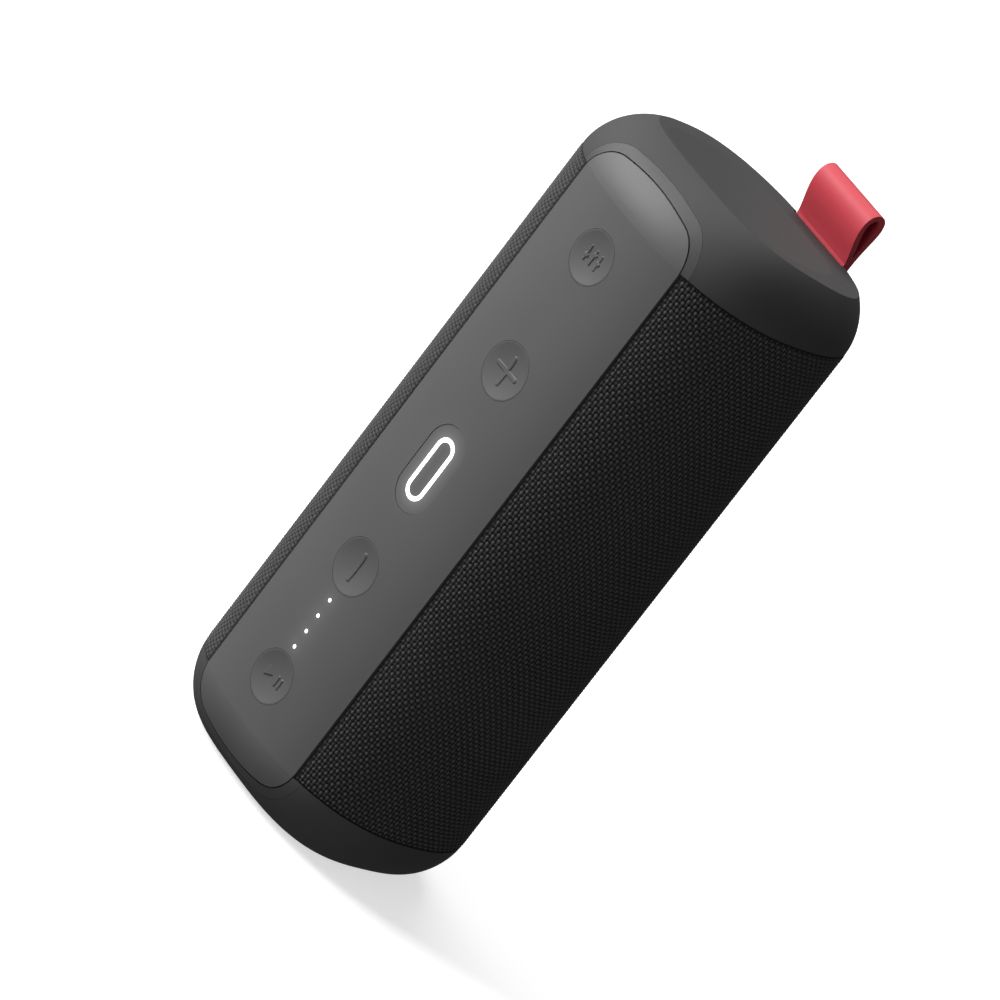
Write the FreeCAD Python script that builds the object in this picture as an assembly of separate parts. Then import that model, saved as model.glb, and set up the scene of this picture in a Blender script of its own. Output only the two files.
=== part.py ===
import FreeCAD, Part
import math
import os

# Shower speaker: a fabric-wrapped waterproof column that stands on its lower end cap.
# Millimetres. Z runs up the column, the control panel faces -Y, and the origin is the
# middle of the base.

V = FreeCAD.Vector

# ---- driving dimensions ----
LENGTH = 189.0
HALF_WIDTH = 40.0
HALF_DEPTH = 34.1
SECTION_POWER = 2.4
CAP_HEIGHT = 15.8
LOWER_CREST = (28.0, 22.0)
UPPER_CREST = (26.4, 21.1)
CREST_POWER = 3.0
UPPER_END_FALL = 4.0
SHOULDER_POWER = 1.163
SHOULDER_END_DEG = 80.0
SHOULDER_STEPS = 7
DISH_DEPTH = 1.0
DISH_RIM = 1.3
LOOP_POINTS = 48

FABRIC_THICKNESS = 1.25
SHELL_OUTER_INSET = 1.4
SHELL_INNER_INSET = 3.8
LEDGE_INSET = 7.8
LEDGE_HEIGHT = 2.2
CAP_WALL = 2.6
CAP_FLOOR = 3.0
UPPER_CAP_ROOF = 3.2
SPIGOT = 3.0
PLATE_THICKNESS = 2.2
PLATE_GASKET = 0.6

PANEL_HALF_WIDTH = 21.25
PANEL_HALF_LENGTH = 88.1
PANEL_END_BULGE = 3.4
PANEL_CORNER = 9.5
PANEL_THICKNESS = 1.6
PANEL_GAP = 0.3
BEZEL_WIDTH = 2.55
FRAME_DEPTH = 3.8

VOLUME_OFFSET = 30.7
VOLUME_RADIUS = 7.3
OUTER_BUTTON_OFFSET = 65.6
OUTER_BUTTON_RADIUS = 6.9
BUTTON_CLEARANCE = 0.08
BUTTON_THICKNESS = 1.2
BUTTON_DISH = 0.5
BUTTON_RIM = 0.5
BUTTON_TRAVEL = 0.4
SWITCH_HEIGHT = 2.0
STEM_GAP = 0.05
STEM_RADIUS = 2.0
STEM_HOLE = 3.4
RING_LENGTH = 18.0
RING_WIDTH = 6.6
RING_LINE = 1.15
RING_RECESS = 0.15
RING_DEPTH = 0.85
POWER_MARGIN = 3.2
LED_FIRST = 41.3
LED_PITCH = 4.9
LED_COUNT = 4
LED_RADIUS = 0.5

BOARD_FRONT = -28.9
BOARD_THICKNESS = 1.2
BOARD_HALF_WIDTH = 12.0
BOARD_HALF_LENGTH = 76.0

BAFFLE_INNER = 27.6
BAFFLE_OUTER = 30.0
BAFFLE_HALF_LENGTH = 48.5
WINDOW_HALF_WIDTH = 22.3
DRIVER_OFFSET = 26.0
DRIVER_RADIUS = 19.8
DRIVER_HOLE = 16.6
DRIVER_SCREW_CIRCLE = 18.2
GASKET_THICKNESS = 0.5
FLANGE_THICKNESS = 1.4

CELL_RADIUS = 9.2
CELL_LENGTH = 65.0
CELL_X = -12.4
CELL_Y = 9.6

PORT_Z = 40.0
PORT_HALF_WIDTH = 16.0
PORT_HALF_HEIGHT = 9.0
POCKET_HALF_WIDTH = 12.4
POCKET_HALF_HEIGHT = 5.9
POCKET_FLOOR = 26.6
FLAP_AXIS_Y = 32.15
FLAP_AXIS_Z = PORT_Z - 4.7
FLAP_HALF_THICKNESS = 0.95
FLAP_PIN_RADIUS = 0.4
USB_X = -5.5
AUX_X = 6.5

STRAP_X = 1.3
STRAP_HALF_WIDTH = 10.6
STRAP_SIDE_GAP = 0.4
STRAP_AXIS_Y = 29.5
STRAP_AXIS_Z = 179.4
STRAP_ROOT_RADIUS = 1.95
STRAP_PIN_RADIUS = 0.6
ANCHOR_EAR = 1.8
ANCHOR_BACK = 30.6
ANCHOR_RISE = 1.1
ANCHOR_SKIN = 0.7
SLOT_FRONT = 26.9
STRAP_OUTSIDE = [
    (28.25, 184.9), (26.4, 189.8), (25.25, 193.3), (25.0, 195.9), (25.9, 198.4), (28.3, 199.6),
    (30.8, 198.5), (31.8, 195.9), (31.5, 192.0), (31.0, 188.5), (30.75, 184.9),
]
STRAP_INSIDE = [
    (29.0, 187.2), (28.1, 190.1), (26.85, 193.5), (26.5, 195.8), (27.0, 197.3), (28.3, 198.1),
    (29.7, 197.3), (30.3, 195.7), (30.1, 192.3), (29.7, 189.6), (29.3, 187.2),
]

MID = LENGTH / 2.0
FABRIC_LOW = CAP_HEIGHT
FABRIC_HIGH = LENGTH - CAP_HEIGHT
FAR = 60.0


# ---- helpers ----
def box(x0, x1, y0, y1, z0, z1):
    return Part.makeBox(x1 - x0, y1 - y0, z1 - z0, V(x0, y0, z0))


def rod(radius, start, end):
    along = end.sub(start)
    return Part.makeCylinder(radius, along.Length, start, along)


def moved(shape, x, y, z):
    copy = shape.copy()
    copy.translate(V(x, y, z))
    return copy


def mirrored(shape):
    return shape.mirror(V(0, 0, MID), V(0, 0, 1))


def loop_wire(half_x, half_y, power, z):
    points = []
    for k in range(LOOP_POINTS):
        angle = 2.0 * math.pi * k / LOOP_POINTS
        c = math.cos(angle)
        s = math.sin(angle)
        reach = (abs(c / half_x) ** power + abs(s / half_y) ** power) ** (-1.0 / power)
        points.append(V(reach * c, reach * s, z))
    curve = Part.BSplineCurve()
    curve.interpolate(Points=points, PeriodicFlag=True)
    return Part.Wire([curve.toShape()])


def prism(inset, z0, z1):
    wire = loop_wire(HALF_WIDTH - inset, HALF_DEPTH - inset, SECTION_POWER, z0)
    return Part.Face(wire).extrude(V(0, 0, z1 - z0))


def shoulder(inset, floor, crest):
    """Rounded lower end: the body's section at the fabric line, drawn in to the crest loop."""
    crest_x, crest_y = crest
    end = math.radians(SHOULDER_END_DEG)
    wires = []
    for k in range(SHOULDER_STEPS + 1):
        t = end * k / SHOULDER_STEPS
        w = (1.0 - math.cos(t) ** SHOULDER_POWER) / (1.0 - math.cos(end) ** SHOULDER_POWER)
        h = (math.sin(t) / math.sin(end)) ** SHOULDER_POWER
        half_x = HALF_WIDTH + (crest_x - HALF_WIDTH) * w - inset
        half_y = HALF_DEPTH + (crest_y - HALF_DEPTH) * w - inset
        power = SECTION_POWER + (CREST_POWER - SECTION_POWER) * w
        wires.append(loop_wire(half_x, half_y, power, CAP_HEIGHT - (CAP_HEIGHT - floor) * h))
    return Part.makeLoft(wires, True, False)


def outline(grow):
    """The control panel's outline, grown all round, as a block that runs in from the front."""
    half_x = PANEL_HALF_WIDTH + grow
    end = PANEL_HALF_LENGTH + grow
    side = end - PANEL_END_BULGE
    y = -FAR
    low_left = V(-half_x, y, MID - side)
    high_left = V(-half_x, y, MID + side)
    high_right = V(half_x, y, MID + side)
    low_right = V(half_x, y, MID - side)
    edges = [
        Part.makeLine(low_left, high_left),
        Part.Arc(high_left, V(0, y, MID + end), high_right).toShape(),
        Part.makeLine(high_right, low_right),
        Part.Arc(low_right, V(0, y, MID - end), low_left).toShape(),
    ]
    block = Part.Face(Part.Wire(edges)).extrude(V(0, FAR, 0))
    corners = [e for e in block.Edges if abs(e.tangentAt(e.FirstParameter).y) > 0.99]
    return block.makeFillet(PANEL_CORNER + grow, corners)


def front_layer(block, depth0, depth1):
    """The part of a front block that lies between two depths under the outer surface."""
    layer = block.common(moved(ENVELOPE, 0, depth0, 0))
    return layer.cut(moved(ENVELOPE, 0, depth1, 0))


def stadium(length, width, axis, start, depth, y, z):
    """Stadium prism, long along Z; axis 'y' or 'x' is its direction, start its first face."""
    r = width / 2.0
    half = length / 2.0 - r
    if axis == "y":
        block = box(-r, r, start, start + depth, z - half, z + half)
        for side in (-1, 1):
            block = block.fuse(rod(r, V(0, start, z + side * half), V(0, start + depth, z + side * half)))
    else:
        block = box(start, start + depth, y - r, y + r, z - half, z + half)
        for side in (-1, 1):
            block = block.fuse(rod(r, V(start, y, z + side * half), V(start + depth, y, z + side * half)))
    return block.removeSplitter()


def revolved_x(profile, z):
    """Turn a profile of (x, radius) points round the X-going axis at height z."""
    points = [V(x, 0, z + r) for x, r in profile]
    face = Part.Face(Part.makePolygon(points + points[:1]))
    return face.revolve(V(0, 0, z), V(1, 0, 0), 360)


def save(name, shape):
    solids = shape.Solids
    result = solids[0] if len(solids) == 1 else Part.makeCompound(solids)
    result.exportStep("parts/" + name + ".step")
    print(name, len(solids), round(result.Volume, 1), result.isValid())


def over_upper_end():
    """All that lies over the upper end face, which falls from its front rim to the back."""
    front = -UPPER_CREST[1]
    fall = UPPER_END_FALL * (FAR - front) / (2 * UPPER_CREST[1])
    high = LENGTH + 1
    corners = [(front, LENGTH), (FAR, LENGTH - fall), (FAR, high), (front, high), (front, LENGTH)]
    outline_wire = Part.makePolygon([V(-FAR, y, z) for y, z in corners])
    return Part.Face(outline_wire).extrude(V(2 * FAR, 0, 0))


def envelope():
    low = shoulder(0.0, 0.0, LOWER_CREST)
    high = mirrored(shoulder(0.0, 0.0, UPPER_CREST)).cut(over_upper_end())
    return low.fuse([prism(0.0, FABRIC_LOW, FABRIC_HIGH), high])


# ---- casing ----
def plate_screw_points():
    return [(sx * 27.0, sy * 17.0) for sx in (-1, 1) for sy in (-1, 1)]


def end_fittings():
    """Ledge and screw bosses inside the shell's lower end."""
    top = FABRIC_LOW + LEDGE_HEIGHT
    ring = prism(SHELL_INNER_INSET - 0.4, FABRIC_LOW, top)
    ring = ring.cut(prism(LEDGE_INSET, FABRIC_LOW - 1, top + 1))
    for x, y in plate_screw_points():
        ring = ring.fuse(rod(2.8, V(x, y, FABRIC_LOW), V(x, y, FABRIC_LOW + 8.0)))
    for x, y in plate_screw_points():
        ring = ring.cut(rod(1.25, V(x, y, FABRIC_LOW - 1), V(x, y, FABRIC_LOW + 7.0)))
    return ring


def enclosure_shell():
    low = FABRIC_LOW - SPIGOT
    high = FABRIC_HIGH + SPIGOT
    tube = prism(SHELL_OUTER_INSET, low, high).cut(prism(SHELL_INNER_INSET, low - 1, high + 1))
    tube = tube.fuse([end_fittings(), mirrored(end_fittings())])
    tube = tube.cut(front_layer(outline(BEZEL_WIDTH + 0.15), -1.0, 4.4))
    for side in (-1, 1):
        x0, x1 = sorted((side * 20.0, side * FAR))
        tube = tube.cut(box(x0, x1, -WINDOW_HALF_WIDTH, WINDOW_HALF_WIDTH,
                            MID - BAFFLE_HALF_LENGTH + 0.5, MID + BAFFLE_HALF_LENGTH - 0.5))
    return tube.cut(port_block(0.1, 20.0))


def fabric_sleeve():
    sleeve = prism(0.0, FABRIC_LOW + 0.1, FABRIC_HIGH - 0.1)
    sleeve = sleeve.cut(prism(FABRIC_THICKNESS, FABRIC_LOW - 1, FABRIC_HIGH + 1))
    edge = PANEL_HALF_WIDTH + PANEL_GAP
    sleeve = sleeve.cut(box(-edge, edge, -FAR, 0, 0, LENGTH))
    return sleeve.cut(port_block(0.15, 20.0))


def dished_end(crest):
    wires = []
    for scale in (1.0, 0.8, 0.6, 0.4, 0.2):
        half_x = (crest[0] - DISH_RIM) * scale
        half_y = (crest[1] - DISH_RIM) * scale
        wires.append(loop_wire(half_x, half_y, CREST_POWER, DISH_DEPTH * (1.0 - scale ** 2)))
    return Part.makeLoft(wires, True, False)


def spigot_recess():
    """Room inside a cap's open end for the end of the enclosure shell."""
    return prism(SHELL_OUTER_INSET - 0.05, FABRIC_LOW - SPIGOT - 0.1, FABRIC_LOW + 1)


def upper_cap_void(play):
    """Space inside the upper cap, drawn in all round by play."""
    void = mirrored(shoulder(CAP_WALL + play, CAP_FLOOR + play, UPPER_CREST))
    return void.cut(moved(over_upper_end(), 0, 0, -UPPER_CAP_ROOF - play))


def lower_end_cap():
    cap = shoulder(0.0, 0.0, LOWER_CREST).cut(shoulder(CAP_WALL, CAP_FLOOR, LOWER_CREST))
    cap = cap.cut(spigot_recess()).cut(dished_end(LOWER_CREST))
    return cap.cut(front_layer(outline(BEZEL_WIDTH + 0.05), -1.0, 4.4))


def upper_end_cap():
    cap = mirrored(shoulder(0.0, 0.0, UPPER_CREST)).cut(upper_cap_void(0.0))
    cap = cap.cut(mirrored(spigot_recess())).cut(over_upper_end())
    lean = math.degrees(math.atan(UPPER_END_FALL / (2 * UPPER_CREST[1])))
    dish = mirrored(dished_end(UPPER_CREST))
    dish.rotate(V(0, -UPPER_CREST[1], LENGTH), V(1, 0, 0), -lean)
    cap = cap.cut(dish)
    cap = cap.cut(front_layer(outline(BEZEL_WIDTH + 0.05), -1.0, 4.4))
    x0 = STRAP_X - STRAP_HALF_WIDTH - STRAP_SIDE_GAP
    x1 = STRAP_X + STRAP_HALF_WIDTH + STRAP_SIDE_GAP
    cap = cap.cut(box(x0, x1, SLOT_FRONT, 31.9, STRAP_AXIS_Z - 2.3, LENGTH + 1))
    cap = cap.cut(box(x0, x1, SLOT_FRONT, FAR, STRAP_AXIS_Z - 0.4, LENGTH + 1))
    return cap.cut(anchor_block(0.1)).cut(strap_pin(0.05))


def end_plate():
    top = FABRIC_LOW - PLATE_GASKET
    plate = prism(SHELL_INNER_INSET + 0.1, top - PLATE_THICKNESS, top)
    plate = plate.cut(front_layer(outline(BEZEL_WIDTH + 0.15), -1.0, 4.4))
    for x, y in plate_screw_points():
        plate = plate.cut(rod(1.3, V(x, y, 0), V(x, y, FAR)))
    return plate


def plate_gasket():
    ring = prism(SHELL_INNER_INSET + 0.3, FABRIC_LOW - PLATE_GASKET, FABRIC_LOW)
    ring = ring.cut(prism(LEDGE_INSET - 0.2, 0, FAR))
    for x, y in plate_screw_points():
        ring = ring.cut(rod(1.6, V(x, y, 0), V(x, y, FAR)))
    return ring


def plate_screws():
    base = FABRIC_LOW - PLATE_GASKET - PLATE_THICKNESS
    screws = []
    for x, y in plate_screw_points():
        head = rod(2.2, V(x, y, base - 1.4), V(x, y, base))
        screws.append(head.fuse(rod(1.2, V(x, y, base), V(x, y, FABRIC_LOW + 6.5))))
    return Part.makeCompound(screws)


# ---- control panel ----
def round_buttons():
    return {
        "equaliser_button": (MID + OUTER_BUTTON_OFFSET, OUTER_BUTTON_RADIUS),
        "volume_up_button": (MID + VOLUME_OFFSET, VOLUME_RADIUS),
        "volume_down_button": (MID - VOLUME_OFFSET, VOLUME_RADIUS),
        "play_pause_button": (MID - OUTER_BUTTON_OFFSET, OUTER_BUTTON_RADIUS),
    }


def light_heights():
    return [MID - LED_FIRST - LED_PITCH * k for k in range(LED_COUNT)]


def power_length():
    return RING_LENGTH + 2 * POWER_MARGIN


def power_width():
    return RING_WIDTH + 2 * POWER_MARGIN


def control_panel():
    panel = front_layer(outline(0.0), 0.0, PANEL_THICKNESS)
    for z, radius in round_buttons().values():
        panel = panel.cut(rod(radius + BUTTON_CLEARANCE, V(0, -FAR, z), V(0, 0, z)))
    grown = 2 * BUTTON_CLEARANCE
    panel = panel.cut(stadium(power_length() + grown, power_width() + grown, "y", -FAR, FAR, 0, MID))
    for z in light_heights():
        panel = panel.cut(rod(LED_RADIUS + 0.03, V(0, -FAR, z), V(0, 0, z)))
    return panel


def panel_frame():
    frame = front_layer(outline(BEZEL_WIDTH), 0.0, FRAME_DEPTH)
    frame = frame.cut(front_layer(outline(PANEL_GAP), -1.0, PANEL_THICKNESS + 0.05))
    for side in (-1, 1):
        x0, x1 = sorted((side * (PANEL_HALF_WIDTH + 0.1), side * FAR))
        frame = frame.cut(box(x0, x1, -FAR, 0, FABRIC_LOW, FABRIC_HIGH))
    for z, radius in round_buttons().values():
        frame = frame.cut(rod(STEM_HOLE, V(0, -FAR, z), V(0, 0, z)))
    frame = frame.cut(stadium(RING_LENGTH + 0.6, RING_WIDTH + 0.6, "y", -FAR, FAR, 0, MID))
    for z in light_heights():
        frame = frame.cut(rod(LED_RADIUS + 0.05, V(0, -FAR, z), V(0, 0, z)))
    holes = [rod(0.85, V(x, -FAR, z), V(x, 0, z)) for x, z in board_screw_points()]
    return frame.cut(Part.makeCompound(holes))


def stem(z):
    inner_end = BOARD_FRONT - SWITCH_HEIGHT - BUTTON_TRAVEL - STEM_GAP
    return rod(STEM_RADIUS, V(0, -HALF_DEPTH + 1.0, z), V(0, inner_end, z))


def round_button(z, radius):
    """A disc that follows the panel's curve, dished for the fingertip, on a short stem."""
    disc = front_layer(rod(radius, V(0, -FAR, z), V(0, 0, z)), 0.0, BUTTON_THICKNESS)
    reach = radius - BUTTON_RIM
    ball = (reach ** 2 + BUTTON_DISH ** 2) / (2 * BUTTON_DISH)
    dish = Part.makeSphere(ball, V(0, -HALF_DEPTH + BUTTON_DISH - ball, z))
    return disc.cut(dish).fuse(stem(z))


def power_button():
    block = stadium(power_length(), power_width(), "y", -FAR, FAR, 0, MID)
    pad = front_layer(block, RING_RECESS, BUTTON_THICKNESS).fuse(stem(MID))
    return pad.cut(front_layer(ring_block(), -1.0, RING_DEPTH))


def ring_block():
    outer = stadium(RING_LENGTH, RING_WIDTH, "y", -FAR, FAR, 0, MID)
    return outer.cut(stadium(RING_LENGTH - 2 * RING_LINE, RING_WIDTH - 2 * RING_LINE, "y", -FAR, FAR, 0, MID))


def light_ring():
    """Clear ring set into a groove in the power button."""
    return front_layer(ring_block(), RING_RECESS, RING_DEPTH)


def battery_light_pipes():
    pipes = []
    for z in light_heights():
        pipe = rod(LED_RADIUS, V(0, -FAR, z), V(0, BOARD_FRONT - 0.8, z))
        pipes.append(pipe.common(moved(ENVELOPE, 0, 0.02, 0)))
    return Part.makeCompound(pipes)


def board_screw_points():
    return [(x, MID + z) for x in (-8.5, 8.5) for z in (-48.0, 48.0)]


def button_board():
    back = BOARD_FRONT + BOARD_THICKNESS
    board = box(-BOARD_HALF_WIDTH, BOARD_HALF_WIDTH, BOARD_FRONT, back,
                MID - BOARD_HALF_LENGTH, MID + BOARD_HALF_LENGTH)
    holes = [rod(0.9, V(x, -FAR, z), V(x, 0, z)) for x, z in board_screw_points()]
    return board.cut(Part.makeCompound(holes))


def button_board_screws():
    back = BOARD_FRONT + BOARD_THICKNESS
    screws = []
    for x, z in board_screw_points():
        head = rod(1.6, V(x, back, z), V(x, back + 1.0, z))
        screws.append(rod(0.8, V(x, -30.9, z), V(x, back, z)).fuse(head))
    return Part.makeCompound(screws)


def tact_switches():
    switches = []
    heights = [z for z, radius in round_buttons().values()] + [MID]
    for z in heights:
        body = box(-2.2, 2.2, BOARD_FRONT - 1.4, BOARD_FRONT, z - 2.2, z + 2.2)
        switches.append(body.fuse(rod(1.0, V(0, BOARD_FRONT - SWITCH_HEIGHT, z), V(0, BOARD_FRONT - 1.4, z))))
    return Part.makeCompound(switches)


def indicator_leds():
    places = [(0.0, z) for z in light_heights()]
    places += [(sx * (RING_WIDTH / 2 - 0.6), MID + dz) for sx in (-1, 1) for dz in (-4.5, 0.0, 4.5)]
    leds = [box(x - 0.5, x + 0.5, BOARD_FRONT - 0.7, BOARD_FRONT, z - 0.8, z + 0.8) for x, z in places]
    return Part.makeCompound(leds)


# ---- drivers, on the +X side ----
def driver_heights():
    return {"upper": MID + DRIVER_OFFSET, "lower": MID - DRIVER_OFFSET}


def driver_screw_points(z):
    reach = DRIVER_SCREW_CIRCLE * math.sqrt(0.5)
    return [(sy * reach, z + sz * reach) for sy in (-1, 1) for sz in (-1, 1)]


def baffle_blank():
    slab = box(BAFFLE_INNER, BAFFLE_OUTER, -FAR, FAR, MID - BAFFLE_HALF_LENGTH, MID + BAFFLE_HALF_LENGTH)
    return slab.common(prism(SHELL_INNER_INSET + 0.05, 0, LENGTH))


def driver_baffle():
    baffle = baffle_blank()
    for z in driver_heights().values():
        baffle = baffle.cut(rod(DRIVER_HOLE + 0.1, V(0, 0, z), V(FAR, 0, z)))
        for y, screw_z in driver_screw_points(z):
            baffle = baffle.cut(rod(0.95, V(0, y, screw_z), V(FAR, y, screw_z)))
    return baffle


def driver_basket(z):
    face = BAFFLE_OUTER + GASKET_THICKNESS
    profile = [
        (face + FLANGE_THICKNESS, 16.3), (face + FLANGE_THICKNESS, DRIVER_RADIUS), (face, DRIVER_RADIUS),
        (face, DRIVER_HOLE), (17.0, DRIVER_HOLE), (17.0, 11.0), (18.2, 11.0), (18.2, 15.6), (face, 15.6),
    ]
    basket = revolved_x(profile, z)
    for y, screw_z in driver_screw_points(z):
        basket = basket.cut(rod(0.95, V(28, y, screw_z), V(FAR, y, screw_z)))
    return basket


def driver_magnet(z):
    magnet = rod(13.0, V(8.5, 0, z), V(17.0, 0, z))
    groove = rod(9.2, V(11.5, 0, z), V(18.0, 0, z)).cut(rod(8.0, V(11.0, 0, z), V(19.0, 0, z)))
    return magnet.cut(groove)


def driver_cone(z):
    """Voice-coil tube, cone and dust cap in one turned piece."""
    profile = [
        (13.6, 8.4), (13.6, 8.8), (20.8, 8.8), (27.8, 13.4), (28.6, 13.4), (28.6, 13.0),
        (21.6, 8.5), (23.6, 6.0), (24.6, 3.0), (24.9, 0.0),
        (24.3, 0.0), (24.0, 3.0), (23.0, 6.0), (21.0, 8.4),
    ]
    return revolved_x(profile, z)


def driver_surround(z):
    """Half-roll rubber ring between the cone's edge and the basket's rim."""
    profile = [
        (28.0, 13.42), (28.6, 13.42), (30.2, 13.9), (30.8, 14.5), (30.2, 15.1), (28.6, 15.5),
        (28.0, 15.5), (29.6, 14.9), (30.0, 14.5), (29.6, 14.1),
    ]
    return revolved_x(profile, z)


def driver_gaskets():
    rings = []
    for z in driver_heights().values():
        ring = rod(DRIVER_RADIUS - 0.2, V(BAFFLE_OUTER, 0, z), V(BAFFLE_OUTER + GASKET_THICKNESS, 0, z))
        ring = ring.cut(rod(DRIVER_HOLE + 0.1, V(0, 0, z), V(FAR, 0, z)))
        for y, screw_z in driver_screw_points(z):
            ring = ring.cut(rod(0.95, V(0, y, screw_z), V(FAR, y, screw_z)))
        rings.append(ring)
    return Part.makeCompound(rings)


def driver_screws():
    top = BAFFLE_OUTER + GASKET_THICKNESS + FLANGE_THICKNESS
    screws = []
    for z in driver_heights().values():
        for y, screw_z in driver_screw_points(z):
            shank = rod(0.9, V(BAFFLE_INNER - 1.0, y, screw_z), V(top, y, screw_z))
            screws.append(shank.fuse(rod(1.5, V(top, y, screw_z), V(top + 0.9, y, screw_z))))
    return Part.makeCompound(screws)


# ---- passive radiator, on the -X side ----
def radiator_ring(outer_length, outer_width, inner_length, inner_width, x0, depth):
    ring = stadium(outer_length, outer_width, "x", x0, depth, 0, MID)
    return ring.cut(stadium(inner_length, inner_width, "x", x0 - 1, depth + 2, 0, MID))


def radiator_baffle():
    baffle = baffle_blank().mirror(V(0, 0, 0), V(1, 0, 0))
    return baffle.cut(stadium(84.0, 32.0, "x", -FAR, FAR, 0, MID))


def radiator_frame():
    return radiator_ring(92.0, 39.0, 84.0, 32.0, -32.0, 1.5)


def radiator_gasket():
    return radiator_ring(91.5, 38.5, 84.5, 32.5, -30.5, 0.5)


def radiator_surround():
    flat = radiator_ring(83.4, 31.4, 66.1, 14.1, -31.4, 0.6)
    roll = radiator_ring(79.0, 27.0, 71.0, 19.0, -32.8, 1.4)
    return flat.fuse(roll)


def radiator_plate():
    return stadium(66.0, 14.0, "x", -32.0, 2.4, 0, MID)


# ---- battery and main board ----
def battery_cells():
    low = MID - CELL_LENGTH / 2
    cells = []
    for side in (-1, 1):
        y = side * CELL_Y
        cell = rod(CELL_RADIUS, V(CELL_X, y, low), V(CELL_X, y, low + CELL_LENGTH - 1.0))
        button = rod(3.0, V(CELL_X, y, low + CELL_LENGTH - 1.0), V(CELL_X, y, low + CELL_LENGTH))
        cells.append(cell.fuse(button))
    return Part.makeCompound(cells)


def standoff_points():
    return [(y, MID + z) for y in (-14.0, 14.0) for z in (-31.0, 31.0)]


def battery_cradle():
    half = CELL_LENGTH / 2 + 0.1
    cradle = box(-2.9, -1.2, -19.4, 19.4, MID - half - 2.8, MID + half + 2.8)
    for z in (MID - half - 2.8, MID + half):
        cradle = cradle.fuse(box(-22.0, -1.2, -19.4, 19.4, z, z + 2.8))
        cradle = cradle.fuse(box(-10.0, -4.0, 19.0, 29.9, z, z + 2.8))
    for y, z in standoff_points():
        cradle = cradle.fuse(rod(2.0, V(-1.4, y, z), V(1.9, y, z)))
        cradle = cradle.cut(rod(1.05, V(-0.9, y, z), V(3.0, y, z)))
    return cradle


def main_board():
    board = box(1.9, 3.5, -17.0, 17.0, MID - 35.0, MID + 35.0)
    return board.cut(Part.makeCompound([rod(1.1, V(0, y, z), V(9, y, z)) for y, z in standoff_points()]))


def main_board_screws():
    screws = []
    for y, z in standoff_points():
        screws.append(rod(1.0, V(-0.8, y, z), V(3.5, y, z)).fuse(rod(1.9, V(3.5, y, z), V(4.6, y, z))))
    return Part.makeCompound(screws)


def radio_module():
    return box(3.5, 5.6, -7.0, 7.0, MID - 6.0, MID + 9.0)


def board_components():
    parts = [box(3.5, 4.6, -6.0, 1.5, MID - 24.0, MID - 16.5)]
    parts.append(box(3.5, 6.4, 4.0, 10.0, MID - 24.0, MID - 18.0))
    parts.append(box(3.5, 6.4, -11.0, -5.0, MID + 16.0, MID + 22.0))
    for z in (MID + 15.0, MID + 22.0):
        parts.append(rod(2.5, V(3.5, 6.0, z), V(7.6, 6.0, z)))
    return Part.makeCompound(parts)


# ---- ports, on the back ----
def port_block(grow, y0):
    half_x = PORT_HALF_WIDTH + grow
    half_z = PORT_HALF_HEIGHT + grow
    block = box(-half_x, half_x, y0, FAR, PORT_Z - half_z, PORT_Z + half_z)
    corners = [e for e in block.Edges if abs(e.tangentAt(e.FirstParameter).y) > 0.99]
    return block.makeFillet(6.0 + grow, corners)


def port_housing():
    housing = port_block(0.0, 24.0).common(ENVELOPE)
    housing = housing.cut(box(-POCKET_HALF_WIDTH, POCKET_HALF_WIDTH, POCKET_FLOOR, FAR,
                              PORT_Z - POCKET_HALF_HEIGHT, PORT_Z + POCKET_HALF_HEIGHT))
    housing = housing.cut(box(USB_X - 4.55, USB_X + 4.55, 20, FAR, PORT_Z - 1.7, PORT_Z + 1.7))
    housing = housing.cut(rod(3.05, V(AUX_X, 20, PORT_Z), V(AUX_X, 30, PORT_Z)))
    return housing.cut(flap_pin(0.0))


def flap_pin(grow):
    end = POCKET_HALF_WIDTH + 2.0
    return rod(FLAP_PIN_RADIUS + grow, V(-end, FLAP_AXIS_Y, FLAP_AXIS_Z), V(end, FLAP_AXIS_Y, FLAP_AXIS_Z))


def port_flap():
    half = POCKET_HALF_WIDTH - 0.2
    y0 = FLAP_AXIS_Y - FLAP_HALF_THICKNESS
    y1 = FLAP_AXIS_Y + FLAP_HALF_THICKNESS
    top = PORT_Z + POCKET_HALF_HEIGHT - 0.2
    flap = box(-half, half, y0, y1, FLAP_AXIS_Z, top)
    root = rod(FLAP_HALF_THICKNESS, V(-half, FLAP_AXIS_Y, FLAP_AXIS_Z), V(half, FLAP_AXIS_Y, FLAP_AXIS_Z))
    pull = box(-3.5, 3.5, y1 - 0.1, y1 + 0.8, top - 1.4, top)
    return flap.fuse([root, pull]).cut(flap_pin(0.05))


def usb_c_socket():
    body = box(USB_X - 4.5, USB_X + 4.5, 17.4, POCKET_FLOOR, PORT_Z - 1.65, PORT_Z + 1.65)
    body = body.cut(box(USB_X - 4.2, USB_X + 4.2, 20.0, FAR, PORT_Z - 1.3, PORT_Z + 1.3))
    return body.fuse(box(USB_X - 3.3, USB_X + 3.3, 19.0, POCKET_FLOOR - 1.0, PORT_Z - 0.35, PORT_Z + 0.35))


def aux_socket():
    body = rod(3.0, V(AUX_X, 12.0, PORT_Z), V(AUX_X, POCKET_FLOOR, PORT_Z))
    return body.cut(rod(1.8, V(AUX_X, 13.0, PORT_Z), V(AUX_X, FAR, PORT_Z)))


def port_board():
    board = box(-14.0, 14.0, 16.0, 17.4, PORT_Z - 7.5, PORT_Z + 7.5)
    return board.cut(rod(3.05, V(AUX_X, 10, PORT_Z), V(AUX_X, 20, PORT_Z)))


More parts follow.
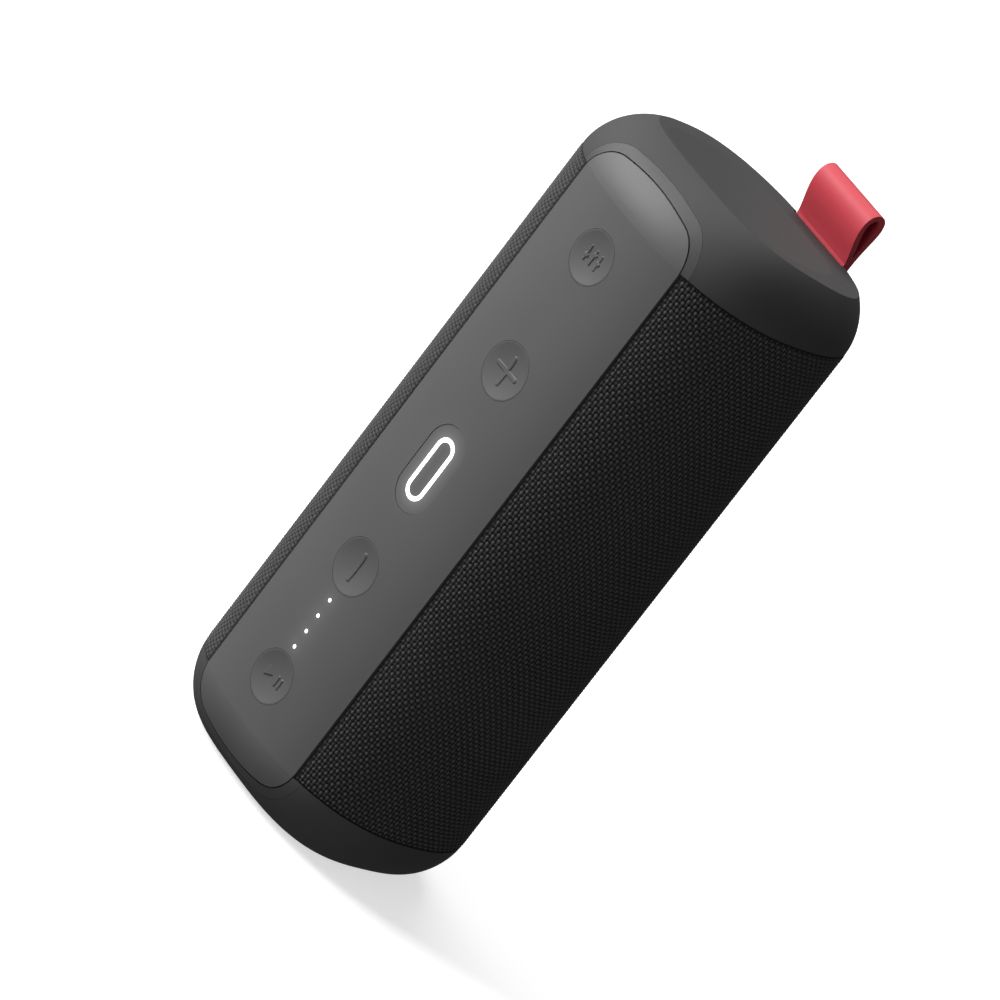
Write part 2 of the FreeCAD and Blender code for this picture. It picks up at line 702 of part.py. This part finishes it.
# ---- strap ----
def side_profile(points, x, width):
    """A closed outline through (y, z) points, smooth but for its straight foot, as a block across X."""
    curve = Part.BSplineCurve()
    curve.interpolate([V(x, y, z) for y, z in points])
    foot = Part.makeLine(V(x, *points[-1]), V(x, *points[0]))
    return Part.Face(Part.Wire([curve.toShape(), foot])).extrude(V(width, 0, 0))


def strap():
    """Flat band folded into a loop; its two plies meet in a neck that turns on the pin."""
    x = STRAP_X - STRAP_HALF_WIDTH
    width = 2 * STRAP_HALF_WIDTH
    loop = side_profile(STRAP_OUTSIDE, x, width)
    loop = loop.cut(side_profile(STRAP_INSIDE, x - 1, width + 2))
    front, foot_z = STRAP_OUTSIDE[0]
    back = STRAP_OUTSIDE[-1][0]
    neck = box(x, x + width, front, back, STRAP_AXIS_Z, foot_z)
    root = rod(STRAP_ROOT_RADIUS, V(x, STRAP_AXIS_Y, STRAP_AXIS_Z), V(x + width, STRAP_AXIS_Y, STRAP_AXIS_Z))
    return loop.fuse([neck, root]).removeSplitter().cut(strap_pin(0.05))


def strap_pin(grow):
    half = STRAP_HALF_WIDTH + STRAP_SIDE_GAP + 1.4
    return rod(STRAP_PIN_RADIUS + grow, V(STRAP_X - half, STRAP_AXIS_Y, STRAP_AXIS_Z),
               V(STRAP_X + half, STRAP_AXIS_Y, STRAP_AXIS_Z))


def anchor_block(play):
    """Block that the two ears are cut from, grown by play for its pocket in the cap."""
    outside = STRAP_HALF_WIDTH + STRAP_SIDE_GAP + ANCHOR_EAR + play
    base = FABRIC_HIGH + PLATE_GASKET + PLATE_THICKNESS
    block = box(STRAP_X - outside, STRAP_X + outside, 25.0 - play, ANCHOR_BACK + play,
                base, STRAP_AXIS_Z + ANCHOR_RISE + play)
    return block.common(mirrored(shoulder(ANCHOR_SKIN - play, ANCHOR_SKIN - play, UPPER_CREST)))


def strap_anchor():
    """Bracket inside the upper cap whose two ears hold the strap's pin."""
    inside = STRAP_HALF_WIDTH + STRAP_SIDE_GAP
    shell_top = FABRIC_HIGH + SPIGOT + 0.1
    shell_ring = prism(0.0, FABRIC_HIGH, shell_top)
    shell_ring = shell_ring.cut(prism(SHELL_INNER_INSET + 0.1, FABRIC_HIGH, shell_top))
    block = anchor_block(0.0).cut(shell_ring)
    block = block.cut(box(STRAP_X - inside, STRAP_X + inside, 0, FAR,
                          STRAP_AXIS_Z - STRAP_ROOT_RADIUS - 0.3, LENGTH))
    return block.cut(strap_pin(0.0))


ENVELOPE = envelope()


def main():
    os.makedirs("parts", exist_ok=True)
    save("enclosure_shell", enclosure_shell())
    save("fabric_sleeve", fabric_sleeve())
    save("lower_end_cap", lower_end_cap())
    save("upper_end_cap", upper_end_cap())
    save("lower_end_plate", end_plate())
    save("upper_end_plate", mirrored(end_plate()))
    save("lower_plate_gasket", plate_gasket())
    save("upper_plate_gasket", mirrored(plate_gasket()))
    save("lower_plate_screws", plate_screws())
    save("upper_plate_screws", mirrored(plate_screws()))
    save("control_panel", control_panel())
    save("panel_frame", panel_frame())
    for name, (z, radius) in round_buttons().items():
        save(name, round_button(z, radius))
    save("power_button", power_button())
    save("light_ring", light_ring())
    save("battery_light_pipes", battery_light_pipes())
    save("button_board", button_board())
    save("button_board_screws", button_board_screws())
    save("tact_switches", tact_switches())
    save("indicator_leds", indicator_leds())
    save("driver_baffle", driver_baffle())
    for name, z in driver_heights().items():
        save(name + "_driver_basket", driver_basket(z))
        save(name + "_driver_magnet", driver_magnet(z))
        save(name + "_driver_cone", driver_cone(z))
        save(name + "_driver_surround", driver_surround(z))
    save("driver_gaskets", driver_gaskets())
    save("driver_screws", driver_screws())
    save("radiator_baffle", radiator_baffle())
    save("radiator_frame", radiator_frame())
    save("radiator_gasket", radiator_gasket())
    save("radiator_surround", radiator_surround())
    save("radiator_plate", radiator_plate())
    save("battery_cells", battery_cells())
    save("battery_cradle", battery_cradle())
    save("main_board", main_board())
    save("main_board_screws", main_board_screws())
    save("radio_module", radio_module())
    save("board_components", board_components())
    save("port_housing", port_housing())
    save("port_flap", port_flap())
    save("port_flap_pin", flap_pin(0.0))
    save("usb_c_socket", usb_c_socket())
    save("aux_socket", aux_socket())
    save("port_board", port_board())
    save("strap", strap())
    save("strap_pin", strap_pin(0.0))
    save("strap_anchor", strap_anchor())


main()
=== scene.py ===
import math

import bpy
import numpy as np
from mathutils import Matrix, Vector

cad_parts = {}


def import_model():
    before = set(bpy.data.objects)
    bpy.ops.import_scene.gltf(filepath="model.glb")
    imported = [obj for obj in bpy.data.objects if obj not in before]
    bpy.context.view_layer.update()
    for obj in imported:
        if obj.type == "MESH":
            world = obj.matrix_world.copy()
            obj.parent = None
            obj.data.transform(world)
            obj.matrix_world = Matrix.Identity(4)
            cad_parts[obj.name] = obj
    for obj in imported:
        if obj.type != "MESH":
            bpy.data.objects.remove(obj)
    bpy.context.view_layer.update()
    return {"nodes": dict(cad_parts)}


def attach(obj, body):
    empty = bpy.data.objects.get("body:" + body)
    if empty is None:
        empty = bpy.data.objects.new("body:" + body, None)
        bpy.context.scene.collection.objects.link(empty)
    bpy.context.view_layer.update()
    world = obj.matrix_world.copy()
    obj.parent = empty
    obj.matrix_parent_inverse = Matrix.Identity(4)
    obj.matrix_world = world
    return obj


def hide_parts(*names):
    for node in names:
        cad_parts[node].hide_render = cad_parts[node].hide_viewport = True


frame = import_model()
MM = 0.001

# ---- sizes of the CAD part, in millimetres ----
LENGTH = 189.0
MID = LENGTH / 2
HALF_WIDTH, HALF_DEPTH, SECTION_POWER = 40.0, 34.1, 2.4
CAP_HEIGHT = 15.8
PANEL_HALF_WIDTH, PANEL_GAP = 21.25, 0.3
PORT_Z, PORT_HALF_WIDTH, PORT_HALF_HEIGHT, PORT_CORNER = 40.0, 16.0, 9.0, 6.0
BUTTON_THICKNESS, BUTTON_DISH = 1.2, 0.85
BUTTONS = {
    "equaliser_button": (160.1, 6.9),
    "volume_up_button": (125.2, 7.3),
    "volume_down_button": (63.8, 7.3),
    "play_pause_button": (28.9, 6.9),
}
RING_LENGTH, RING_WIDTH = 18.0, 6.6
LED_HEIGHTS = [53.2, 48.3, 43.4, 38.5]
STEM_RADIUS, STEM_END = 2.0, -31.35
THREAD_PITCH_ROUND, THREAD_PITCH_UP, SAMPLES_PER_THREAD = 0.97, 1.15, 4
MARK_HEIGHT = 0.26


# ---- materials ----
class Nodes:
    """Short calls for building one material's node tree."""

    def __init__(self, name):
        self.material = bpy.data.materials.new(name)
        self.material.use_nodes = True
        self.tree = self.material.node_tree
        self.tree.nodes.clear()
        self.out = self.add("ShaderNodeOutputMaterial")
        self.shader = self.add("ShaderNodeBsdfPrincipled")
        self.tree.links.new(self.shader.outputs[0], self.out.inputs[0])
        self.coords = self.add("ShaderNodeTexCoord").outputs["Object"]

    def add(self, kind, **values):
        node = self.tree.nodes.new(kind)
        for key, value in values.items():
            setattr(node, key, value)
        return node

    def link(self, source, target):
        self.tree.links.new(source, target)

    def feed(self, socket, value):
        if hasattr(value, "links"):
            self.link(value, socket)
        else:
            socket.default_value = value

    def math(self, operation, a, b=0.0):
        node = self.add("ShaderNodeMath", operation=operation)
        self.feed(node.inputs[0], a)
        self.feed(node.inputs[1], b)
        return node.outputs[0]

    def noise(self, scale, detail=2.0, roughness=0.5):
        node = self.add("ShaderNodeTexNoise")
        node.inputs["Scale"].default_value = scale
        node.inputs["Detail"].default_value = detail
        node.inputs["Roughness"].default_value = roughness
        self.link(self.coords, node.inputs["Vector"])
        return node.outputs["Fac"]

    def span(self, value, low, high, from_low=0.0, from_high=1.0):
        node = self.add("ShaderNodeMapRange")
        self.feed(node.inputs["Value"], value)
        limits = {"From Min": from_low, "From Max": from_high, "To Min": low, "To Max": high}
        for key, number in limits.items():
            node.inputs[key].default_value = number
        return node.outputs["Result"]

    def blend(self, factor, a, b):
        node = self.add("ShaderNodeMix", data_type="RGBA")
        self.feed(node.inputs[0], factor)
        self.feed(node.inputs[6], a)
        self.feed(node.inputs[7], b)
        return node.outputs[2]

    def bump(self, height, distance):
        node = self.add("ShaderNodeBump")
        node.inputs["Distance"].default_value = distance
        node.inputs["Strength"].default_value = 1.0
        self.link(height, node.inputs["Height"])
        self.link(node.outputs[0], self.shader.inputs["Normal"])


def rgba(colour, factor=1.0):
    return tuple(min(1.0, c * factor) for c in colour) + (1.0,)


def plastic(name, colour, rough, grain=2600.0, depth=0.00001, mottle=0.06, metallic=0.0, shine=0.5):
    """Moulded or finished surface: slight patches of tone, uneven gloss and a fine grain."""
    n = Nodes(name)
    patches = n.noise(38.0, 3.0, 0.55)
    tone = n.blend(patches, rgba(colour, 1 - mottle), rgba(colour, 1 + mottle))
    n.link(tone, n.shader.inputs["Base Color"])
    fine = n.noise(grain, 2.0, 0.6)
    mixed = n.math("ADD", n.math("MULTIPLY", patches, 0.5), n.math("MULTIPLY", fine, 0.5))
    n.link(n.span(mixed, rough - 0.06, rough + 0.06, 0.25, 0.75), n.shader.inputs["Roughness"])
    n.shader.inputs["Metallic"].default_value = metallic
    n.shader.inputs["Specular IOR Level"].default_value = shine
    n.bump(fine, depth)
    return n


def thread_material():
    """Near-black yarn: each thread has a fine twist and its own slight tone. The colour falls to near black
    in the gaps between threads and where the cloth tucks under the panel's edge and the caps' rims: painted
    shade, read from the lift colour attribute.
    """
    n = Nodes("sleeve_yarn")
    place = n.add("ShaderNodeUVMap", uv_map="weave").outputs[0]
    split = n.add("ShaderNodeSeparateXYZ")
    n.link(place, split.inputs[0])
    twist = n.math("MULTIPLY", n.math("ADD", split.outputs[0], split.outputs[1]), 7.0)
    strands = n.math("SINE", n.math("MULTIPLY", twist, 2 * math.pi))
    fuzz = n.noise(5200.0, 2.0, 0.6)
    tone = n.noise(420.0, 2.0, 0.6)
    height = n.add("ShaderNodeVertexColor", layer_name="lift").outputs[0]
    lift = n.add("ShaderNodeSeparateColor")
    n.link(height, lift.inputs[0])
    base = n.blend(tone, rgba((0.078, 0.078, 0.079)), rgba((0.130, 0.130, 0.132)))
    # painted shade: near black where the lift attribute is low, in the gaps between threads and at the tucks
    deep = n.blend(n.span(lift.outputs[0], 0.0, 1.0, 0.46, 0.80), rgba((0.006, 0.006, 0.0062)), base)
    n.link(deep, n.shader.inputs["Base Color"])
    n.link(n.span(fuzz, 0.62, 0.82), n.shader.inputs["Roughness"])
    n.shader.inputs["Specular IOR Level"].default_value = 0.35
    n.shader.inputs["Sheen Weight"].default_value = 0.06
    n.bump(n.math("ADD", strands, n.math("MULTIPLY", fuzz, 1.5)), 0.00003)
    return n.material


def glow_material():
    n = Nodes("light_guide_lit")
    tone = n.noise(900.0, 2.0, 0.5)
    n.link(n.blend(tone, (0.90, 0.90, 0.88, 1.0), (0.97, 0.97, 0.96, 1.0)), n.shader.inputs["Base Color"])
    n.link(n.span(tone, 0.22, 0.34), n.shader.inputs["Roughness"])
    n.shader.inputs["Emission Color"].default_value = (1.0, 1.0, 1.0, 1.0)
    n.link(n.span(tone, 1.5, 1.7), n.shader.inputs["Emission Strength"])
    return n.material


def lit_plastic(name, colour, rough, reach, strength, spots):
    """Plastic that also carries a little of the light bleeding out of the lamps set in it.

    Each of spots is (x, z, half length, radius) of a lamp's stadium outline, in metres."""
    n = plastic(name, colour, rough, mottle=0.04)
    split = n.add("ShaderNodeSeparateXYZ")
    n.link(n.coords, split.inputs[0])
    total = None
    for x, z, half, radius in spots:
        dx = n.math("ABSOLUTE", n.math("SUBTRACT", split.outputs[0], x))
        dz = n.math("SUBTRACT", n.math("ABSOLUTE", n.math("SUBTRACT", split.outputs[2], z)), half)
        dz = n.math("MAXIMUM", dz, 0.0)
        away = n.math("SQRT", n.math("ADD", n.math("MULTIPLY", dx, dx), n.math("MULTIPLY", dz, dz)))
        edge = n.math("ABSOLUTE", n.math("SUBTRACT", away, radius))
        glow = n.math("POWER", 2.718, n.math("MULTIPLY", edge, -1.0 / reach))
        total = glow if total is None else n.math("ADD", total, glow)
    n.shader.inputs["Emission Color"].default_value = (1.0, 1.0, 1.0, 1.0)
    n.link(n.math("MULTIPLY", total, strength), n.shader.inputs["Emission Strength"])
    return n.material


def silicone(name, colour):
    n = plastic(name, colour, 0.62, grain=3400.0, depth=0.000012, mottle=0.05)
    n.shader.inputs["Subsurface Weight"].default_value = 0.12
    n.shader.inputs["Subsurface Radius"].default_value = (0.0012, 0.0004, 0.0004)
    n.shader.inputs["Subsurface Scale"].default_value = 1.0
    return n.material


PANEL_COLOUR = (0.088, 0.088, 0.089)
RING_LAMP = (0.0, MID * MM, (RING_LENGTH - RING_WIDTH) / 2 * MM, RING_WIDTH / 2 * MM)
LED_LAMPS = [(0.0, z * MM, 0.0, 0.0) for z in LED_HEIGHTS]
MATERIALS = {
    "shell_plastic": plastic("shell_black", (0.020, 0.020, 0.021), 0.55).material,
    "cap_soft_touch": plastic("cap_soft", (0.060, 0.0595, 0.060), 0.72, grain=3200.0, shine=0.22).material,
    "panel_plastic": lit_plastic("panel_satin", PANEL_COLOUR, 0.60, 0.0016, 0.06, LED_LAMPS + [RING_LAMP]),
    "bezel_plastic": plastic("bezel_satin", (0.050, 0.050, 0.051), 0.60).material,
    "button_plastic": lit_plastic("power_satin", PANEL_COLOUR, 0.60, 0.0017, 0.10, [RING_LAMP]),
    "light_guide": glow_material(),
    "sleeve_fabric": thread_material(),
    "strap_silicone": silicone("strap_red", (0.55, 0.044, 0.065)),
    "screw_steel": plastic("screw_steel_pbr", (0.55, 0.55, 0.56), 0.32, metallic=1.0).material,
    "gasket_rubber": plastic("gasket_black", (0.02, 0.02, 0.02), 0.8).material,
    "board_green": plastic("board_mask", (0.02, 0.12, 0.05), 0.4).material,
    "chip_black": plastic("chip_epoxy", (0.02, 0.02, 0.02), 0.6).material,
    "shield_can": plastic("shield_tin", (0.6, 0.6, 0.6), 0.35, metallic=1.0).material,
    "switch_metal": plastic("switch_tin", (0.5, 0.5, 0.5), 0.35, metallic=1.0).material,
    "led_white": plastic("led_lens", (0.85, 0.85, 0.75), 0.3).material,
    "basket_steel": plastic("basket_paint", (0.03, 0.03, 0.03), 0.5).material,
    "magnet_steel": plastic("magnet_zinc", (0.35, 0.35, 0.36), 0.45, metallic=1.0).material,
    "cone_paper": plastic("cone_pulp", (0.04, 0.04, 0.04), 0.9, grain=1200.0, depth=0.00004).material,
    "surround_rubber": plastic("surround_soft", (0.03, 0.03, 0.03), 0.7).material,
    "weight_plate": plastic("weight_anodised", (0.6, 0.6, 0.62), 0.35, metallic=1.0).material,
    "battery_wrap": plastic("battery_sleeve", (0.06, 0.18, 0.45), 0.3).material,
    "cradle_plastic": plastic("cradle_nylon", (0.08, 0.08, 0.08), 0.6).material,
    "port_plastic": plastic("port_moulding", (0.030, 0.030, 0.031), 0.52).material,
    "flap_rubber": plastic("flap_soft", (0.024, 0.024, 0.025), 0.66).material,
    "socket_steel": plastic("socket_shell", (0.6, 0.6, 0.62), 0.3, metallic=1.0).material,
    "socket_plastic": plastic("socket_tongue", (0.02, 0.02, 0.02), 0.5).material,
}
BUTTON_TOP = plastic("button_satin", PANEL_COLOUR, 0.60, mottle=0.04).material

for node in frame["nodes"].values():
    for place in node.material_slots:
        place.material = MATERIALS[place.material.name.split(".")[0]]


# ---- helpers ----
def mesh_piece(name, points, faces, material):
    mesh = bpy.data.meshes.new(name)
    mesh.from_pydata((np.asarray(points, float) * MM).tolist(), [], faces)
    mesh.update()
    piece = bpy.data.objects.new(name, mesh)
    bpy.context.scene.collection.objects.link(piece)
    mesh.materials.append(material)
    mesh.shade_smooth()
    return piece


def grid_faces(rows, columns, keep):
    """Quads of a rows x columns grid of points; keep says which quads stay."""
    index = np.arange(rows * columns).reshape(rows, columns)
    quads = np.stack([index[:-1, :-1], index[:-1, 1:], index[1:, 1:], index[1:, :-1]], axis=-1)
    return quads.reshape(-1, 4)[keep.reshape(-1)]


def quad_mesh(name, points, quads, material):
    """A mesh from arrays, dropping the points that no quad uses."""
    used, quads = np.unique(quads, return_inverse=True)
    quads = quads.reshape(-1, 4)
    mesh = bpy.data.meshes.new(name)
    mesh.vertices.add(len(used))
    mesh.vertices.foreach_set("co", (points[used] * MM).astype(np.float32).ravel())
    mesh.loops.add(quads.size)
    mesh.loops.foreach_set("vertex_index", quads.astype(np.int32).ravel())
    mesh.polygons.add(len(quads))
    mesh.polygons.foreach_set("loop_start", np.arange(0, quads.size, 4, dtype=np.int32))
    mesh.polygons.foreach_set("loop_total", np.full(len(quads), 4, np.int32))
    mesh.update()
    mesh.validate()
    mesh.shade_smooth()
    mesh.materials.append(material)
    piece = bpy.data.objects.new(name, mesh)
    bpy.context.scene.collection.objects.link(piece)
    return piece, used, quads


def front_y(x):
    """Depth of the outer surface on the panel's side at x."""
    share = np.abs(np.asarray(x, float) / HALF_WIDTH) ** SECTION_POWER
    return -HALF_DEPTH * (1 - share) ** (1 / SECTION_POWER)


def smoothstep(value, low, high):
    t = np.clip((value - low) / (high - low), 0, 1)
    return t * t * (3 - 2 * t)


# ---- fabric sleeve ----
def sleeve_path(step):
    """Points and outward normals round the section, from one panel edge to the other, even along the arc."""
    angle = np.linspace(0, 2 * math.pi, 20001)
    c, s = np.cos(angle - math.pi / 2), np.sin(angle - math.pi / 2)
    total = np.abs(c / HALF_WIDTH) ** SECTION_POWER + np.abs(s / HALF_DEPTH) ** SECTION_POWER
    reach = total ** (-1 / SECTION_POWER)
    x, y = reach * c, reach * s
    edge = PANEL_HALF_WIDTH + PANEL_GAP + 0.15
    inside = ~((np.abs(x) < edge) & (y < 0))
    x, y = x[inside], y[inside]
    run = np.concatenate([[0], np.cumsum(np.hypot(np.diff(x), np.diff(y)))])
    count = int(round(run[-1] / step))
    at = np.linspace(0, run[-1], count + 1)
    x, y = np.interp(at, run, x), np.interp(at, run, y)
    tx, ty = np.gradient(x), np.gradient(y)
    size = np.hypot(tx, ty)
    return x, y, ty / size, -tx / size, at


def woven_height(u, v):
    """Plain weave: u and v count threads. Returns height from 0 (gap) to 1 (crown)."""
    row = np.floor(v)
    across = v - row - 0.5
    along = np.cos(math.pi * (u + row) - math.pi / 2)
    weft = 0.48 + 0.52 * along - 1.5 * across ** 2
    column = np.floor(u)
    over = u - column - 0.5
    ridge = np.cos(math.pi * (v + column) + math.pi / 2)
    warp = 0.42 + 0.36 * ridge - 1.7 * over ** 2
    return np.clip(np.maximum(weft, warp), 0.0, 1.0)


def fabric_sleeve():
    pitch_u, pitch_v, share = THREAD_PITCH_ROUND, THREAD_PITCH_UP, SAMPLES_PER_THREAD
    x, y, nx, ny, at = sleeve_path(pitch_u / share)
    low, high = CAP_HEIGHT + 0.05, LENGTH - CAP_HEIGHT - 0.05
    rows = int(round((high - low) / pitch_v * share))
    z = np.linspace(low, high, rows + 1)
    u, v = np.meshgrid(at / pitch_u, (z - low) / pitch_v, indexing="xy")
    rng = np.random.default_rng(7)
    sway = rng.normal(0, 1, (9, 9))
    a, b = np.meshgrid(np.linspace(0, 8, u.shape[1]), np.linspace(0, 8, u.shape[0]))
    a0, b0 = np.minimum(a.astype(int), 7), np.minimum(b.astype(int), 7)
    fa, fb = a - a0, b - b0
    wander = ((sway[b0, a0] * (1 - fa) + sway[b0, a0 + 1] * fa) * (1 - fb)
              + (sway[b0 + 1, a0] * (1 - fa) + sway[b0 + 1, a0 + 1] * fa) * fb)
    height = woven_height(u + 0.06 * wander, v + 0.05 * wander)
    # the cloth dips under the panel's edge and under each cap's rim; the same tuck also darkens the colour
    # there as painted shade
    tuck = smoothstep(np.minimum(at, at[-1] - at), 0.0, 0.9)[None, :]
    tuck = tuck * smoothstep(np.minimum(z - low, high - z), 0.0, 0.7)[:, None]
    lift = -0.66 + 0.86 * height - 0.45 * (1 - tuck)
    px = x[None, :] + nx[None, :] * lift
    py = y[None, :] + ny[None, :] * lift
    pz = np.repeat(z[:, None], len(x), axis=1)
    points = np.stack([px, py, pz], axis=-1).reshape(-1, 3)
    middle_x = (px[:-1, :-1] + px[1:, 1:]) / 2
    middle_z = (pz[:-1, :-1] + pz[1:, 1:]) / 2
    corner_x = np.abs(middle_x) - (PORT_HALF_WIDTH - PORT_CORNER)
    corner_z = np.abs(middle_z - PORT_Z) - (PORT_HALF_HEIGHT - PORT_CORNER)
    outside = np.hypot(np.maximum(corner_x, 0), np.maximum(corner_z, 0))
    outside = outside + np.minimum(np.maximum(corner_x, corner_z), 0)
    keep = ~((outside < PORT_CORNER + 0.1) & ((py[:-1, :-1] + py[1:, 1:]) / 2 > 0))
    faces = grid_faces(*px.shape, keep)
    piece, used, quads = quad_mesh("fabric_sleeve_weave", points, faces, MATERIALS["sleeve_fabric"])
    layer = piece.data.uv_layers.new(name="weave")
    uv = np.stack([u.reshape(-1)[used], v.reshape(-1)[used]], axis=-1)[quads.reshape(-1)]
    layer.data.foreach_set("uv", uv.astype(np.float32).ravel())
    # the lift colour attribute is thread height times tuck; the yarn material turns its low values into
    # painted shade
    tone = piece.data.color_attributes.new(name="lift", type="FLOAT_COLOR", domain="POINT")
    shade = (height * tuck).reshape(-1)[used]
    tone.data.foreach_set("color", np.repeat(np.stack([shade], -1), 4, axis=1).astype(np.float32).ravel())
    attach(piece, "housing")
    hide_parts("fabric_sleeve")


# ---- buttons ----
def bar(x, z, cx, cz, half_x, half_z, radius):
    """Signed distance to a rounded bar."""
    qx = np.abs(x - cx) - (half_x - radius)
    qz = np.abs(z - cz) - (half_z - radius)
    return np.hypot(np.maximum(qx, 0), np.maximum(qz, 0)) + np.minimum(np.maximum(qx, qz), 0) - radius


def triangle(x, z, cx, cz, size):
    """Signed distance to a play triangle that points along +X."""
    px, pz = (x - cx) / size, np.abs(z - cz) / size
    slope = np.maximum((px * 0.5 + pz * 0.866) - 0.5, -px - 0.5)
    return slope * size


def glyph(name, x, z):
    if name == "volume_up_button":
        return np.minimum(bar(x, z, 0, 0, 4.3, 0.6, 0.5), bar(x, z, 0, 0, 0.6, 4.3, 0.5))
    if name == "volume_down_button":
        return bar(x, z, 0, 0, 0.6, 4.2, 0.5)
    if name == "play_pause_button":
        shapes = [triangle(x, z, -2.2, 0, 1.7)]
        shapes += [bar(x, z, centre, 0, 0.36, 1.5, 0.3) for centre in (1.5, 3.0)]
        return np.minimum.reduce(shapes)
    shapes = []
    for k, knob in ((-1, -0.7), (0, 0.8), (1, -0.1)):
        shapes.append(bar(x, z, 2.3 * k, 0, 0.26, 2.2, 0.24))
        shapes.append(bar(x, z, 2.3 * k, knob, 0.75, 0.48, 0.32))
    return np.minimum.reduce(shapes)


def mark_height(name, x, z):
    """How far the button's mark stands out of its dish at x, z."""
    return MARK_HEIGHT * (1 - smoothstep(glyph(name, x, z), -0.16, 0.06))


def round_button(name, z0, radius):
    """The whole button: a dished face with its raised mark, side wall and stem."""
    step = 0.1
    rings = int(radius / step)
    around = 192
    r = np.linspace(0, 1, rings + 1)[1:] * (radius - 0.02)
    angle = np.linspace(0, 2 * math.pi, around, endpoint=False)
    x = r[:, None] * np.cos(angle)[None, :]
    z = r[:, None] * np.sin(angle)[None, :]
    share = np.clip(r / (radius - 0.35), 0, 1)[:, None]
    dish = BUTTON_DISH * (1 - share ** 2)
    mark = mark_height(name, x, z)
    y = front_y(x) + dish - mark
    top = np.stack([x, y, z + z0], axis=-1).reshape(-1, 3)
    centre = [[0.0, float(front_y(0.0)) + BUTTON_DISH - float(mark_height(name, 0.0, 0.0)), z0]]
    points = [centre, top]
    faces = [(0, 1 + (k + 1) % around, 1 + k) for k in range(around)]
    for ring in range(rings - 1):
        a = 1 + ring * around
        for k in range(around):
            n = (k + 1) % around
            faces.append((a + k, a + n, a + around + n, a + around + k))
    last = 1 + (rings - 1) * around
    side = [(radius, BUTTON_THICKNESS), (STEM_RADIUS, BUTTON_THICKNESS), (STEM_RADIUS, None)]
    start = last
    base = 1 + rings * around
    for wide, deep in side:
        sx, sz = wide * np.cos(angle), wide * np.sin(angle) + z0
        sy = front_y(sx) + deep if deep is not None else np.full(around, STEM_END)
        points.append(np.stack([sx, sy, sz], axis=-1))
        for k in range(around):
            n = (k + 1) % around
            faces.append((start + k, start + n, base + n, base + k))
        start, base = base, base + around
    faces.append(tuple(start + k for k in range(around)))
    piece = mesh_piece(name + "_cap", np.concatenate(points), faces, BUTTON_TOP)
    piece.data.set_sharp_from_angle(angle=math.radians(50))
    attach(piece, name)
    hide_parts(name)


fabric_sleeve()
for button, (height_z, button_radius) in BUTTONS.items():
    round_button(button, height_z, button_radius)


# ---- stage ----
LAMP_TARGET = (0.0, 0.0, 0.11)


def area_light(name, place, size, energy):
    data = bpy.data.lights.new(name, "AREA")
    data.shape = "RECTANGLE"
    data.size, data.size_y = size
    data.energy = energy
    lamp = bpy.data.objects.new(name, data)
    bpy.context.scene.collection.objects.link(lamp)
    lamp.location = place
    lamp.rotation_mode = "QUATERNION"
    lamp.rotation_quaternion = (Vector(LAMP_TARGET) - Vector(place)).to_track_quat("-Z", "Y")


def floor():
    n = Nodes("pale_floor")
    tone = n.noise(6.0, 2.0, 0.5)
    n.link(n.blend(tone, (0.86, 0.86, 0.86, 1.0), (0.88, 0.88, 0.88, 1.0)), n.shader.inputs["Base Color"])
    n.shader.inputs["Roughness"].default_value = 0.9
    n.shader.inputs["Specular IOR Level"].default_value = 0.0
    n.shader.inputs["Emission Color"].default_value = (1.0, 1.0, 1.0, 1.0)
    n.shader.inputs["Emission Strength"].default_value = 0.62
    size = 60.0
    mesh = bpy.data.meshes.new("floor")
    corners = [(-size, -size, 0), (size, -size, 0), (size, size, 0), (-size, size, 0)]
    mesh.from_pydata(corners, [], [(0, 1, 2, 3)])
    piece = bpy.data.objects.new("floor", mesh)
    bpy.context.scene.collection.objects.link(piece)
    mesh.materials.append(n.material)
    piece.visible_diffuse = False
    piece.visible_glossy = False


def world():
    made = bpy.data.worlds.new("studio")
    bpy.context.scene.world = made
    made.use_nodes = True
    back = made.node_tree.nodes["Background"]
    back.inputs[0].default_value = (1.0, 1.0, 1.0, 1.0)
    back.inputs[1].default_value = 0.14


def camera():
    data = bpy.data.cameras.new("camera")
    data.lens, data.sensor_width = 283.6, 36.0
    data.clip_start, data.clip_end = 0.05, 200.0
    made = bpy.data.objects.new("camera", data)
    bpy.context.scene.collection.objects.link(made)
    right, up, back = (0.49715, 0.64658, 0.57860), (-0.63003, -0.18949, 0.75310), (0.59658, -0.73894, 0.31316)
    turn = Matrix((right, up, back)).transposed().to_4x4()
    made.matrix_world = Matrix.Translation((1.1232, -1.3973, 0.6815)) @ turn
    bpy.context.scene.camera = made


floor()
world()
camera()
area_light("key", (-0.80, -0.66, 0.68), (0.6, 0.6), 20.0)
area_light("front", (0.25, -1.2, 0.06), (0.6, 0.3), 4.5)
area_light("top", (-0.45, 0.25, 1.15), (0.6, 0.6), 6.0)
bpy.context.scene.view_settings.view_transform = "Standard"
